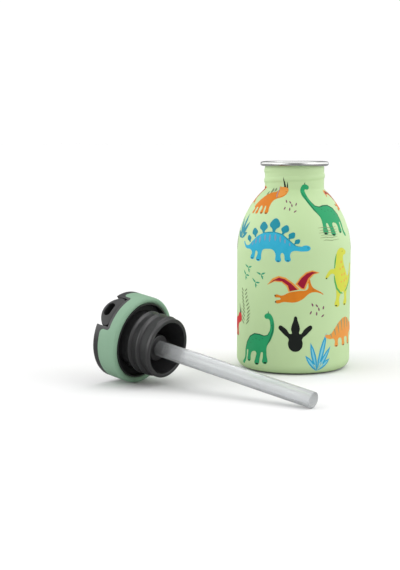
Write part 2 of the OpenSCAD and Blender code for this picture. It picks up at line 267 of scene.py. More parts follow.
def lathe(name, section, steps=128, closed=True):
    """Turns (radius, height) points in mm about +Z. An open section starts and ends on the axis."""
    deselect()
    bpy.ops.mesh.primitive_plane_add(size=MM)
    piece = bpy.context.object
    piece.name = piece.data.name = name
    bpy.ops.object.mode_set(mode="EDIT")
    bpy.ops.mesh.select_mode(type="VERT")
    bpy.ops.mesh.select_all(action="SELECT")
    bpy.ops.mesh.merge(type="CENTER")
    bpy.ops.transform.translate(value=(section[0][0] * MM, 0, section[0][1] * MM))
    path = section + section[:1] if closed else section
    for (r0, z0), (r1, z1) in zip(path, path[1:]):
        bpy.ops.mesh.extrude_region_move(TRANSFORM_OT_translate={"value": ((r1 - r0) * MM, 0, (z1 - z0)
                    * MM)})
    bpy.ops.mesh.select_all(action="SELECT")
    bpy.ops.mesh.remove_doubles(threshold=1e-6)
    bpy.ops.mesh.select_all(action="SELECT")
    bpy.ops.mesh.spin(steps=steps, angle=2 * math.pi, center=(0, 0, 0), axis=(0, 0, 1))
    bpy.ops.mesh.select_all(action="SELECT")
    bpy.ops.mesh.remove_doubles(threshold=1e-6)
    bpy.ops.mesh.normals_make_consistent(inside=False)
    bpy.ops.object.mode_set(mode="OBJECT")
    bpy.ops.object.shade_smooth_by_angle(angle=math.radians(35))
    return piece


def roll_thread(piece):
    for v in piece.data.vertices:
        z = v.co.z / MM
        if FOOT_Z - 0.8 < z < COAT_TOP and abs(v.co.xy.length / MM - NECK_R) < 1.2:
            rise = thread_rise(math.atan2(v.co.y, v.co.x), z)
            v.co.xy *= 1 + rise / (v.co.xy.length / MM)


def settle(piece, body, slot, *nodes):
    """Fixes a finished piece to its body, in place of the construction nodes it stands for, which it hides.
    The slot is not used.
    """
    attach(piece, body)
    if nodes:
        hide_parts(*nodes)


coat = lathe("painted_body", body_outline(0, COAT_TOP) + body_outline(COAT_T, COAT_TOP)[::-1])
roll_thread(coat)
coat.data.materials.append(finish("green_powder_coat", srgb(174, 200, 148), srgb(178, 203, 152), (0.5, 0.6),
                                  grain=1800, patches=35, bump=0.25, depth=0.03))
settle(coat, "bottle", "powder_coat", "bottle_shell")

curl = ([(NECK_R - SHEET_T, CURL_Z - 1)] + arc(CURL_NEAR, CURL_Z, CURL_R, 180, 90, 8)
        + arc(CURL_FAR, CURL_Z, CURL_R, 90, -90, 16)
        + [(NECK_R + 0.5, CURL_Z - CURL_R), (NECK_R + 0.5, CURL_Z - CURL_R + SHEET_T)]
        + arc(CURL_FAR, CURL_Z, CURL_R - SHEET_T, -90, 90, 12)
        + arc(CURL_NEAR, CURL_Z, CURL_R - SHEET_T, 90, 180, 6) + [(NECK_R, COAT_TOP + 0.05)])
steel = lathe("steel_shell", body_outline(COAT_T, COAT_TOP) + curl[::-1]
    + body_outline(SHEET_T, COAT_TOP)[::-1])
roll_thread(steel)
bare_steel = finish("spun_steel", srgb(205, 206, 204), srgb(190, 192, 190), (0.12, 0.24), grain=900,
    patches=120, bump=0.05, depth=0.01, Metallic=1.0)
steel.data.materials.append(bare_steel)
settle(steel, "bottle", "bare_steel", "bottle_shell")

base_plate = frame["nodes"]["base_plate"]
base_plate.data.materials.clear()
base_plate.data.materials.append(bare_steel)

# ---- print on the coat ----
# Playful animals and plants are printed on the coat in flat inks, all the way round. Each ink is one
# thin skin: its shapes are drawn flat in mm, laid out on the unrolled body and wrapped on the coat.
SHEET_R = BODY_R
JOIN_Z = SHOULDER_Z + SHOULDER_R * math.sin(math.atan2(FOOT_Z - SHOULDER_Z, FOOT_X - SHOULDER_X))
INK_T, INK_LIFT, INK_STEP = 0.06, 0.04, 0.02
GRID_W, INK_TONE = 1.8, 0.8


def coat_radius(z):
    if z < CORNER_R:
        return BODY_R - CORNER_R + math.sqrt(max(0, CORNER_R ** 2 - (CORNER_R - z) ** 2))
    if z < SHOULDER_Z:
        return BODY_R
    if z < JOIN_Z:
        return SHOULDER_X + math.sqrt(SHOULDER_R ** 2 - (z - SHOULDER_Z) ** 2)
    if z < FOOT_Z:
        return FOOT_X - math.sqrt(FOOT_R ** 2 - (FOOT_Z - z) ** 2)
    return NECK_R


def leaf(x, y, length, width, angle, point=0.5):
    """A pointed leaf or stroke from (x, y) at this angle, widest at point of its length."""
    a = math.radians(angle)
    along, across = (math.cos(a), math.sin(a)), (-math.sin(a), math.cos(a))
    shape = [(0, 0), (point * 0.5, -0.42), (point, -0.5), ((1 + point) / 2, -0.36), (1, 0),
             ((1 + point) / 2, 0.36), (point, 0.5), (point * 0.5, 0.42)]
    return "cut", [(x + u * length * along[0] + v * width * across[0],
                    y + u * length * along[1] + v * width * across[1]) for u, v in shape]


def drop(x, y, size, angle):
    """A rounded back plate, narrow at its foot."""
    a = math.radians(angle)
    return "round", [(x + size * (u * math.cos(a) - v * math.sin(a)), y + size
            * (u * math.sin(a) + v * math.cos(a))) for u, v in ((-0.16, -1.3), (0.16, -1.3),
            (0.34, -0.8), (0.9, -0.15), (0.72, 0.55), (0, 1.2), (-0.72, 0.55), (-0.9, -0.15),
            (-0.34, -0.8))]


def dot(x, y, rx, ry):
    return "cut", [(x + rx * math.cos(math.radians(a)), y + ry * math.sin(math.radians(a)))
        for a in range(0, 360, 36)]


def band(points, widths):
    """A line of changing width through the points, such as a shaded back or a stem."""
    left, right = [], []
    for i, (x, y) in enumerate(points):
        (x0, y0), (x1, y1) = points[max(0, i - 1)], points[min(len(points) - 1, i + 1)]
        d = math.hypot(x1 - x0, y1 - y0)
        nx, ny = -(y1 - y0) / d * widths[i] / 2, (x1 - x0) / d * widths[i] / 2
        left.append((x + nx, y + ny))
        right.append((x - nx, y - ny))
    return "cut", left + right[::-1]


LONG_NECK = {
    "leaf_green": [
        ("round", [(-4.6, 11.3), (-5.4, 10.2), (-7.3, 10.0), (-8.1, 8.0), (-8.0, 4.6), (-6.6, 1.9),
                (-4.4, 1.3), (-1.5, 1.9), (2.2, 1.9), (5.6, 0.3), (8.4, -3.0), (9.9, -7.0),
                (10.4, -11.0), (12.4, -14.2), (9.8, -12.9), (8.7, -9.6), (7.8, -6.6), (7.5, -9.0),
                (7.7, -12.1), (5.7, -12.3), (4.9, -8.6), (3.6, -7.2), (1.0, -7.3), (1.2, -9.8),
                (1.9, -13.3), (-0.6, -13.4), (-1.8, -9.4), (-3.2, -6.9), (-3.7, -9.2), (-3.5, -12.3),
                (-6.2, -12.4), (-6.1, -8.0), (-6.3, -3.8), (-8.6, -0.4), (-10.4, 4.4), (-10.3, 9.0),
                (-8.8, 12.2), (-7.2, 13.0), (-5.6, 12.6)]),
    ],
    "dark_green": [
        band([(-8.2, 4.4), (-6.7, 1.9), (-4.4, 1.3), (-1.5, 1.9), (2.2, 1.9), (5.6, 0.3), (8.3, -3.0),
                (9.7, -7.0)], [0.2, 0.45, 0.5, 0.6, 0.6, 0.6, 0.5, 0.2]),
        band([(-6.3, -3.4), (-8.0, -0.4), (-9.8, 4.4), (-9.8, 8.8)], [0.2, 0.6, 0.6, 0.2]),
        leaf(-7.2, 12.6, 1.5, 0.5, 80), dot(1.0, -0.4, 0.35, 0.25), dot(3.4, -1.1, 0.3, 0.22),
        dot(-1.6, -0.9, 0.28, 0.22), dot(4.9, -2.8, 0.3, 0.2), dot(-3.4, 0.0, 0.25, 0.2),
        dot(-8.9, 6.9, 0.3, 0.25),
    ],
    "black": [
        dot(-5.2, -12.2, 0.9, 0.4), dot(0.4, -13.1, 1.0, 0.4), dot(6.5, -12.0, 0.8, 0.35),
    ],
}
PLATED = {
    "sky": [
        ("round", [(-18.0, -1.2), (-16.6, -2.8), (-14.4, -3.2), (-11.6, -0.8), (-8.4, 2.2), (-4.4, 4.3),
                (0.4, 4.9), (4.6, 3.6), (8.2, 0.4), (11.2, -2.5), (13.6, -2.9), (16.0, -2.2),
                (18.2, -3.4), (18.0, -4.7), (14.8, -5.5), (9.6, -5.6), (8.7, -7.6), (8.9, -10.6),
                (6.6, -10.8), (5.9, -7.4), (4.9, -6.3), (4.2, -7.7), (4.3, -10.9), (2.0, -11.0),
                (1.7, -7.0), (0.4, -4.9), (-2.4, -4.4), (-4.8, -5.0), (-5.7, -7.2), (-6.3, -10.9),
                (-8.8, -10.8), (-7.9, -6.8), (-8.8, -5.7), (-9.5, -7.2), (-10.4, -10.3), (-12.6, -10.1),
                (-11.6, -6.8), (-12.8, -5.3), (-15.6, -5.0), (-17.4, -3.4)]),
    ],
    "teal": [
        drop(-13.9, 0.6, 1.6, 22), drop(-10.3, 4.1, 2.0, 14), drop(-5.4, 7.2, 2.4, 6),
        drop(0.4, 8.6, 2.9, -3), drop(5.6, 6.1, 2.1, -20), drop(9.0, 2.8, 1.8, -34),
        drop(11.8, -0.3, 1.4, -44),
        band([(-14.2, -3.0), (-11.4, -0.7), (-8.3, 2.2), (-4.4, 4.2), (0.4, 4.8), (4.6, 3.5), (8.2, 0.3),
                (11.2, -2.5), (13.6, -2.9)], [0.1, 0.4, 0.5, 0.5, 0.5, 0.5, 0.5, 0.4, 0.1]),
    ],
    "haze": [
        leaf(-8.9, 1.2, 3.4, 0.8, -100), leaf(-6.6, 2.6, 4.2, 0.9, -96), leaf(-4.0, 3.4, 3.6, 0.9, -92),
        leaf(-1.4, 3.9, 4.6, 0.9, -92), leaf(1.2, 3.9, 4.0, 1.0, -88), leaf(3.6, 3.0, 3.8, 0.8, -86),
        leaf(5.9, 1.4, 2.8, 0.8, -84), leaf(-11.0, -1.0, 2.2, 0.6, -104), leaf(8.2, -0.8, 2.0, 0.6, -80),
    ],
    "black": [
        dot(17.0, -3.5, 0.22, 0.22), dot(3.1, -10.8, 0.7, 0.25), dot(7.7, -10.6, 0.7, 0.25),
        dot(-7.6, -10.7, 0.7, 0.25), dot(-11.5, -10.0, 0.7, 0.25),
    ],
}
HORNED = {
    "orange": [
        ("round", [(-10.2, -4.6), (-8.0, -1.6), (-4.8, 1.2), (-1.0, 3.2), (2.6, 4.0), (4.6, 6.0),
                (7.4, 6.4), (9.4, 5.0), (9.8, 2.8), (8.6, 1.2), (5.6, 0.2), (3.6, -1.4), (3.2, -4.4),
                (3.5, -7.6), (1.4, -7.8), (0.9, -4.8), (0.0, -3.7), (-0.3, -5.4), (-0.3, -7.6),
                (-2.3, -7.8), (-2.0, -4.8), (-3.6, -3.8), (-4.4, -5.6), (-4.6, -7.8), (-6.7, -7.8),
                (-5.8, -5.0), (-7.0, -4.7), (-7.8, -6.4), (-8.4, -7.9), (-10.2, -7.7), (-8.9, -5.4)]),
    ],
    "light_orange": [
        ("round", [(4.2, 4.2), (4.0, 6.6), (5.4, 6.3), (7.6, 6.6), (9.3, 5.2), (9.4, 3.2), (7.6, 1.6),
                (5.2, 1.4), (4.6, 2.8)]),
    ],
    "grey": [
        leaf(-1.5, 3.0, 3.0, 1.6, 70), leaf(0.6, 3.8, 2.4, 1.4, 60), leaf(-3.8, 1.8, 2.2, 1.2, 75),
    ],
    "haze": [
        band([(3.8, 6.4), (3.5, 4.4), (4.0, 2.4), (5.0, 0.8)], [0.2, 0.4, 0.4, 0.2]),
    ],
    "black": [
        ("cut", [(6.7, 6.3), (6.3, 9.2), (6.2, 12.0), (7.2, 9.0), (7.9, 6.4)]),
        ("cut", [(8.2, 6.2), (8.4, 7.9), (8.7, 9.4), (9.0, 7.6), (9.0, 5.9)]), dot(8.6, 3.9, 0.2, 0.2),
        dot(2.5, -7.7, 0.8, 0.25), dot(-1.3, -7.7, 0.8, 0.25),
    ],
}
WINGED = {
    "orange": [
        ("round", [(15.7, -4.3), (14.9, -3.4), (11.6, -1.6), (9.6, -0.4), (8.4, 1.6), (7.2, 4.4),
                (6.4, 4.2), (7.0, 1.4), (6.6, -1.2), (2.0, -2.0), (-3.0, -2.8), (-7.2, -4.6),
                (-10.8, -4.2), (-11.2, -5.2), (-7.8, -6.2), (-10.8, -7.6), (-10.6, -8.5), (-6.0, -7.9),
                (0.0, -8.0), (4.2, -6.2), (7.4, -3.6), (10.4, -2.8), (14.6, -3.8)]),
    ],
    "light_orange": [
        ("cut", [(-15.6, 0.6), (-12.4, 4.2), (-9.0, 5.6), (-5.2, 4.8), (-1.6, 2.4), (2.4, -1.2),
                (-3.6, -2.6), (-4.6, 0.2), (-7.4, 2.4), (-11.4, 2.6)]),
        ("cut", [(0.0, 1.4), (2.4, 4.8), (5.6, 7.6), (9.2, 8.6), (13.4, 7.2), (10.0, 6.4), (7.6, 4.0),
                (5.2, -1.4), (3.2, -1.2)]),
    ],
    "crimson": [
        ("cut", [(-14.4, 1.2), (-11.8, 3.4), (-8.8, 4.8), (-5.6, 4.0), (-2.2, 1.8), (1.2, -1.4),
                (-3.0, -2.2), (-4.0, 0.8), (-7.2, 2.9), (-11.2, 3.1)]),
        ("cut", [(1.0, 1.6), (3.2, 4.6), (6.0, 7.0), (9.0, 7.9), (11.8, 7.3), (9.2, 6.6), (6.8, 4.4),
                (4.6, -0.8), (3.4, -0.6)]),
    ],
    "black": [
        dot(-10.9, -4.7, 0.35, 0.5), dot(-10.6, -8.0, 0.35, 0.45), dot(9.6, -1.6, 0.2, 0.2),
    ],
}
WALKER = {
    "yellow": [
        ("round", [(-2.6, 15.4), (0.4, 16.2), (3.0, 15.2), (4.8, 13.8), (4.2, 12.6), (2.0, 11.8),
                (2.6, 7.6), (5.2, 3.2), (8.2, 0.0), (10.4, 2.6), (12.8, 7.0), (13.0, 1.8), (10.8, -3.8),
                (7.8, -6.8), (6.6, -10.0), (6.4, -15.2), (3.2, -15.8), (3.9, -10.6), (2.2, -8.2),
                (-0.2, -9.6), (-1.5, -12.4), (-1.3, -15.7), (-5.0, -15.5), (-4.0, -11.2), (-4.2, -6.4),
                (-5.3, -1.8), (-5.6, 1.6), (-8.0, 2.3), (-10.2, 0.5), (-11.8, -0.3), (-11.0, 2.4),
                (-8.4, 4.8), (-5.4, 5.2), (-4.8, 9.4), (-4.2, 13.2)]),
    ],
    "grass": [
        band([(-4.4, 13.0), (-5.1, 9.4), (-5.7, 5.2)], [0.3, 1.0, 0.6]),
        band([(-5.8, 1.2), (-5.2, -2.0), (-3.6, -6.0), (-0.6, -8.6), (2.0, -9.2)],
            [0.5, 1.1, 1.3, 1.1, 0.4]),
        band([(4.4, -8.4), (7.0, -6.8), (10.2, -3.6), (12.4, 1.4)], [0.5, 1.0, 1.0, 0.4]),
    ],
    "light_orange": [
        dot(0.0, 8.4, 0.5, 0.8), dot(1.8, 5.4, 0.5, 0.7), dot(-0.8, 4.6, 0.45, 0.7),
        dot(3.6, 1.6, 0.5, 0.8), dot(1.0, 1.2, 0.5, 0.7), dot(6.2, -1.4, 0.5, 0.7),
        dot(3.6, -2.2, 0.5, 0.8), dot(0.4, -2.6, 0.4, 0.6), dot(9.6, 0.2, 0.5, 0.6),
        dot(4.8, -5.4, 0.4, 0.6),
    ],
    "black": [
        dot(-4.0, -15.5, 1.0, 0.35), dot(4.2, -15.5, 1.0, 0.35), dot(-11.3, 0.0, 0.5, 0.4),
        dot(0.9, 14.2, 0.25, 0.25),
    ],
}
STRIPED = {
    "light_orange": [
        ("round", [(-14.0, -1.4), (-10.6, -1.0), (-7.2, 2.0), (-3.4, 5.4), (1.4, 7.4), (6.2, 6.6),
                (9.4, 4.0), (12.6, 3.4), (14.2, 1.2), (12.6, -1.2), (9.4, -2.4), (8.9, -5.0),
                (9.3, -7.8), (6.7, -8.0), (6.2, -4.8), (4.6, -3.6), (2.4, -3.8), (2.2, -5.6),
                (2.5, -7.9), (0.0, -8.0), (-0.5, -5.0), (-1.6, -3.7), (-3.8, -3.8), (-4.4, -5.6),
                (-4.3, -7.8), (-6.8, -7.9), (-6.8, -5.0), (-7.8, -3.6), (-11.2, -3.4)]),
    ],
    "moss": [
        band([(-10.2, -0.6), (-9.4, -2.6)], [0.9, 0.3]), band([(-7.4, 1.8), (-6.4, -1.8)], [1.1, 0.3]),
        band([(-4.6, 4.4), (-3.4, -0.8)], [1.2, 0.3]), band([(-1.4, 6.4), (-0.4, 0.4)], [1.3, 0.3]),
        band([(2.0, 7.2), (2.6, 1.0)], [1.3, 0.3]), band([(5.2, 6.8), (5.4, 1.4)], [1.2, 0.3]),
        band([(8.2, 5.0), (7.9, 1.2)], [1.0, 0.3]),
    ],
    "black": [
        dot(12.2, 1.4, 0.25, 0.25), dot(-5.6, -7.8, 0.9, 0.3), dot(1.3, -7.9, 0.9, 0.3),
        dot(8.0, -7.9, 0.9, 0.3),
    ],
}
RED_ONE = {"red": HORNED["orange"], "black": HORNED["black"]}
DASHES = {"plum": [leaf(x, y, 1.9, 0.7, a) for x, y, a in ((-3.4, -2.2, 65), (-2.0, 1.4, 110),
            (-0.4, -2.8, 88), (0.2, 1.0, 125), (0.8, -0.8, 100), (2.6, -0.2, 78), (1.8, -3.6, 40))]}
SCRIBBLE = {"grey": [band([(-7 + s, y), (-3, y + 0.35), (1.0, y - 0.1), (5.6 + s / 2, y + 0.4)],
            [0.12, 0.3, 0.28, 0.12]) for s, y in ((0, 3.2), (0.8, 1.8), (0.2, 0.5), (1.2, -0.8),
            (0.5, -2.1), (2.4, -3.6))]}


def three_toes(x, y, size, angle):
    return [leaf(x, y, size * 0.55, size * 0.16, angle + 180, 0.3)] + [
        leaf(x, y, size * 0.5, size * 0.15, angle + turn, 0.55) for turn in (-42, 0, 42)]


TRACKS = {"track_green": [s for x, y, a in ((-5.4, 3.8, -28), (-7.6, -0.4, -48), (4.4, 0.6, -20),
            (0.6, -4.0, -42)) for s in three_toes(x, y, 6.2, a)]}
FOOTPRINT = {
    "black": [
        ("round", [(0, -6.6), (2.6, -5.4), (3.5, -2.6), (3.2, -0.6), (5.6, 1.8), (7.9, 5.6), (4.6, 4.4),
                (2.0, 1.9), (2.1, 4.4), (1.0, 8.2), (0, 10.4), (-1.0, 8.2), (-2.1, 4.4), (-2.0, 1.9),
                (-4.6, 4.4), (-7.9, 5.6), (-5.6, 1.8), (-3.2, -0.6), (-3.5, -2.6), (-2.6, -5.4)]),
    ],
}
FERN = {"grey": [leaf(math.sin(i * 0.55) + 0.8 * side, -10.4 + 2.05 * i, 4.8 - 0.22 * i, 0.8, 90 - side * 48)
                 for i in range(10) for side in (-1, 1)]}
REEDS = {"blue": [leaf(0, -10, length, width, angle, 0.55) for length, width,
        angle in ((11, 2.6, 128), (16, 2.8, 104), (21, 3.0, 74), (15.5, 2.6, 56), (10.5, 2.4, 38))],
    "pale_blue": [leaf(0.15 * length * math.cos(math.radians(angle)), -10 + 0.15 * length
            * math.sin(math.radians(angle)), length * 0.7, width * 0.36, angle, 0.6) for length, width,
        angle in ((11, 2.6, 128), (16, 2.8, 104), (21, 3.0, 74), (15.5, 2.6, 56), (10.5, 2.4, 38))]}
BUSH = {"teal": [leaf(0, -6, length, 2.5, angle, 0.5) for length, angle in ((7.5, 150), (12.5, 112),
            (13.5, 84), (11, 58), (7, 30))]}

# motif, angle from the front, height, width and height scales (a minus mirrors it)
LAYOUT = ((HORNED, -45, 96, 0.92, 1.0), (DASHES, -9, 92.6, 1.05, 1.0), (LONG_NECK, 40, 90.4, 1.0, 1.04),
          (SCRIBBLE, 35, 77.5, 1.0, 1.0), (PLATED, -26, 73.8, 1.16, 1.0), (BUSH, -73, 80, 1.0, 1.0),
          (TRACKS, -46, 54.5, 1.0, 1.0), (FERN, -61, 36.5, 1.0, 1.0), (WINGED, -2.5, 49, 1.02, 1.05),
          (DASHES, 20, 36.4, 1.3, 1.2), (WALKER, 50, 53.2, 1.0, 1.0), (LONG_NECK, -42, 19.8, -1.0, 1.1),
          (FOOTPRINT, -2, 21, 1.15, 1.15), (REEDS, 20, 12.6, 1.0, 1.03), (STRIPED, 54, 23, 1.0, 1.0),
          (RED_ONE, -82, 26, 0.8, 0.95), (WINGED, 82, 96, 0.6, 0.8), (FERN, 87, 73, 0.9, 0.6))
INKS = (("leaf_green", (30, 156, 98), (44, 170, 112), 0), ("sky", (22, 172, 206), (62, 182, 216), 0),
    ("orange", (214, 118, 14), (226, 134, 30), 0), ("yellow", (216, 218, 62), (208, 212, 78), 0),
    ("red", (218, 40, 34), (204, 30, 40), 0), ("plum", (118, 56, 92), (140, 96, 112), 0),
    ("grey", (134, 152, 112), (112, 130, 92), 1), ("blue", (34, 156, 200), (50, 172, 214), 0),
    ("track_green", (44, 152, 112), (60, 168, 130), 0), ("dark_green", (12, 98, 66), (24, 112, 78), 1),
    ("teal", (20, 136, 154), (28, 150, 170), 1), ("haze", (112, 160, 190), (136, 150, 180), 1),
    ("light_orange", (232, 148, 62), (238, 162, 74), 1), ("pale_blue", (122, 202, 222), (140, 212, 224),
        1), ("grass", (78, 168, 82), (92, 180, 90), 1), ("moss", (140, 150, 104), (154, 160, 112), 2),
    ("crimson", (166, 8, 50), (152, 6, 44), 2), ("black", (16, 22, 18), (26, 32, 28), 2))


def ink_tone(colour):
    """Ink is darker than it looks under bright light."""
    return tuple(c * INK_TONE for c in srgb(*colour))


def print_ink(ink, colour, shade, layer):
    """Draws every shape of one ink on the unrolled body, cuts it into a grid and wraps it round the coat."""
    drawing = bpy.data.curves.new("print_" + ink, "CURVE")
    drawing.dimensions, drawing.fill_mode, drawing.resolution_u = "2D", "BOTH", 4
    for half in (0, 180):
        for motif, angle, height, wide, tall in LAYOUT:
            for kind, points in motif.get(ink, ()):
                spline = drawing.splines.new("BEZIER" if kind == "round" else "POLY")
                dots = spline.bezier_points if kind == "round" else spline.points
                dots.add(len(points) - 1)
                for node, (x, y) in zip(dots, points):
                    z = min(max(height + y * tall, WELD_Z + 0.6), COAT_TOP - 1)
                    flat = (math.radians(angle + half) * SHEET_R + x * wide * SHEET_R / coat_radius(z), z, 0)
                    if kind == "round":
                        node.co = flat
                        node.handle_left_type = node.handle_right_type = "AUTO"
                    else:
                        node.co = (*flat, 1)
                spline.use_cyclic_u = True
    piece = bpy.data.objects.new("print_" + ink, drawing)
    scene.collection.objects.link(piece)
    deselect()
    piece.select_set(True)
    bpy.context.view_layer.objects.active = piece
    bpy.ops.object.convert(target="MESH")
    piece = bpy.context.object
    xs, ys = [v.co.x for v in piece.data.vertices], [v.co.y for v in piece.data.vertices]
    bpy.ops.object.mode_set(mode="EDIT")
    bpy.ops.mesh.select_all(action="SELECT")
    bpy.ops.mesh.remove_doubles(threshold=0.001)
    columns = range(math.ceil(min(xs) / GRID_W), math.floor(max(xs) / GRID_W) + 1)
    lines = [((x * GRID_W, 0, 0), (1, 0, 0)) for x in columns]
    z = min(ys)
    while z < max(ys):
        lines.append(((0, z, 0), (0, 1, 0)))
        z += 0.6 if z > JOIN_Z - 1 else 1.5 if z > SHOULDER_Z else 1.2 if z < CORNER_R else 4
    for place, normal in lines:
        bpy.ops.mesh.select_all(action="SELECT")
        bpy.ops.mesh.bisect(plane_co=place, plane_no=normal)
    bpy.ops.mesh.select_all(action="SELECT")
    bpy.ops.mesh.remove_doubles(threshold=0.001)
    bpy.ops.object.mode_set(mode="OBJECT")
    if sum(p.normal.z * p.area for p in piece.data.polygons) < 0:
        piece.data.flip_normals()
    for v in piece.data.vertices:
        a, z = v.co.x / SHEET_R - math.pi / 2, v.co.y
        slope = (coat_radius(z + 0.05) - coat_radius(z - 0.05)) / 0.1
        up = 1 / math.sqrt(1 + slope * slope)
        lift = INK_LIFT + INK_STEP * layer
        r = coat_radius(z) + (thread_rise(a, z) if z > FOOT_Z else 0) + lift * up
        v.co = (r * math.cos(a) * MM, r * math.sin(a) * MM, (z - slope * lift * up) * MM)
    wall = piece.modifiers.new("ink", "SOLIDIFY")
    wall.thickness, wall.offset = INK_T * MM, -1
    bpy.ops.object.modifier_apply(modifier="ink")
    bpy.ops.object.shade_smooth_by_angle(angle=math.radians(35))
    piece.data.materials.append(finish("ink_" + ink, ink_tone(colour), ink_tone(shade), (0.5, 0.62),
            patches=260, grain=1800, bump=0.2, depth=0.02, Specular_IOR_Level=0.2))
    settle(piece, "bottle", "powder_coat")


for ink in INKS:
    print_ink(*ink)


# ---- lid: ring and deck ----
# The lid is moulded in black plastic: a deep ring with a deck, a channel for the folded spout, and a bare
# border round the channel's mouth. It is shaped upright and then laid on its side beside the bottle.
RING_LOW, RING_TOP, LIP_Z, LID_R, LIP_ROUND = -4.8, 10.6, 6.8, 23.3, 1.0
SKIRT_IN_R, SKIRT_OUT_R, SLEEVE_R, SLEEVE_ROUND = 19.5, 20.2, 21.3, 1.55
FLANGE_T, FLOOR_Z, BORDER = 1.6, 2.6, 1.5
HINGE_X, HINGE_Z = -3.0, 7.0
CHANNEL_W, CHANNEL_BACK = 19.0, -7.5

joints = {j["name"]: j for j in frame["joints"]}
lid_up = -Vector(joints["straw_pull"]["axis"])
lid_side = -Vector(joints["spout_flip"]["axis"])
lid_front = lid_side.cross(lid_up)
LID = Matrix((lid_front, lid_side, lid_up)).transposed().to_4x4()
LID.translation = Vector(joints["spout_flip"]["pos_m"]) - (HINGE_X * lid_front + HINGE_Z * lid_up) * MM


def block(low, high, rounded=None, radius=1.0):
    """A cutting block between two corners in mm. rounded(a, b) picks edges to round, by their ends."""
    deselect()
    middle = [(a + b) / 2 * MM for a, b in zip(low, high)]
    bpy.ops.mesh.primitive_cube_add(size=1, location=middle, scale=[(b - a) * MM for a, b in zip(low, high)])
    tool = bpy.context.object
    bpy.ops.object.transform_apply(location=True, rotation=True, scale=True)
    if rounded:
        bpy.ops.object.mode_set(mode="EDIT")
        bpy.ops.mesh.select_mode(type="EDGE")
        bpy.ops.mesh.select_all(action="DESELECT")
        bpy.ops.object.mode_set(mode="OBJECT")
        for e in tool.data.edges:
            e.select = rounded(*(tool.data.vertices[i].co / MM for i in e.vertices))
        bpy.ops.object.mode_set(mode="EDIT")
        bpy.ops.mesh.bevel(offset=radius * MM, segments=6)
        bpy.ops.object.mode_set(mode="OBJECT")
    return tool


def bar(name, outline, x0, x1):
    """Extrudes a closed (across, up) outline in mm along the lid's front direction."""
    deselect()
    bpy.ops.mesh.primitive_circle_add(vertices=len(outline), radius=MM)
    made = bpy.context.object
    made.name = made.data.name = name
    for v, (y, z) in zip(made.data.vertices, outline):
        v.co = (x0 * MM, y * MM, z * MM)
    bpy.ops.object.mode_set(mode="EDIT")
    bpy.ops.mesh.select_all(action="SELECT")
    bpy.ops.mesh.edge_face_add()
    bpy.ops.mesh.extrude_region_move(TRANSFORM_OT_translate={"value": ((x1 - x0) * MM, 0, 0)})
    bpy.ops.mesh.select_all(action="SELECT")
    bpy.ops.mesh.normals_make_consistent(inside=False)
    bpy.ops.object.mode_set(mode="OBJECT")
    return made


def cut(piece, tool, how="DIFFERENCE", keep=False):
    deselect()
    bpy.context.view_layer.objects.active = piece
    piece.select_set(True)
    step = piece.modifiers.new("cut", "BOOLEAN")
    step.operation, step.object, step.solver = how, tool, "EXACT"
    bpy.ops.object.modifier_apply(modifier="cut")
    if not keep:
        bpy.data.objects.remove(tool)


def soften(piece, width, segments=3, angle=38):
    """Rounds every sharp edge by width mm."""
    deselect()
    bpy.context.view_layer.objects.active = piece
    piece.select_set(True)
    bpy.ops.object.mode_set(mode="EDIT")
    bpy.ops.mesh.select_all(action="SELECT")
    bpy.ops.mesh.remove_doubles(threshold=0.01 * MM)
    bpy.ops.mesh.dissolve_limited(angle_limit=math.radians(0.5))
    bpy.ops.object.mode_set(mode="OBJECT")
    step = piece.modifiers.new("soften", "BEVEL")
    step.width, step.segments = width * MM, segments
    step.limit_method, step.angle_limit = "ANGLE", math.radians(angle)
    bpy.ops.object.modifier_apply(modifier="soften")
    bpy.ops.object.shade_smooth_by_angle(angle=math.radians(32))


def lay_down(piece, surface, body, slot, *nodes):
    """Moves a lid piece from its upright place to where the lid lies, and fixes it there."""
    piece.data.transform(LID)
    piece.data.materials.clear()
    piece.data.materials.append(surface)
    settle(piece, body, slot, *nodes)


black_plastic = finish("black_plastic", srgb(47, 47, 48), srgb(39, 39, 40), (0.3, 0.42), grain=3000,
    bump=0.3, depth=0.02)
mouth_y, mouth_z, corner_r, shoulder_r = CHANNEL_W / 2 + BORDER, FLOOR_Z - BORDER, 1.6, 2.2
right_half = (arc(mouth_y - corner_r, mouth_z + corner_r, corner_r, 270, 360, 6)
    + arc(mouth_y + shoulder_r, LIP_Z - shoulder_r, shoulder_r, 180, 90, 8)
    + [(mouth_y + shoulder_r, 20)])
notch = bar("notch", right_half + [(-y, z) for y, z in right_half[::-1]], 0, 30)
groove = lathe("groove", [(SLEEVE_R, RING_LOW - 1), (LID_R + 2, RING_LOW - 1), (LID_R + 2, LIP_Z),
        (SLEEVE_R, LIP_Z)])
cut(groove, notch, keep=True)
cap = lathe("cap_shell_moulded", [(0, FLANGE_T), (SKIRT_IN_R, FLANGE_T), (SKIRT_IN_R, RING_LOW + 0.4),
        (SKIRT_OUT_R, RING_LOW + 0.4), (SKIRT_OUT_R, RING_LOW + 2 * SLEEVE_ROUND),
        (LID_R, RING_LOW + 2 * SLEEVE_ROUND)] + arc(LID_R - LIP_ROUND, RING_TOP - LIP_ROUND, LIP_ROUND,
        0, 90, 6) + [(LID_R - 3.2, RING_TOP), (LID_R - 3.7, RING_TOP - 0.35), (0, RING_TOP - 0.35)],
    closed=False)
cut(cap, groove)
cut(cap, block((CHANNEL_BACK, -CHANNEL_W / 2, FLOOR_Z), (30, CHANNEL_W / 2, 20),
               lambda a, b: max(a.x, b.x) < 0 and abs(a.z - b.z) > 1, 2.0))
soften(cap, 0.3)
lay_down(cap, black_plastic, "lid", "black_plastic", "cap_shell")

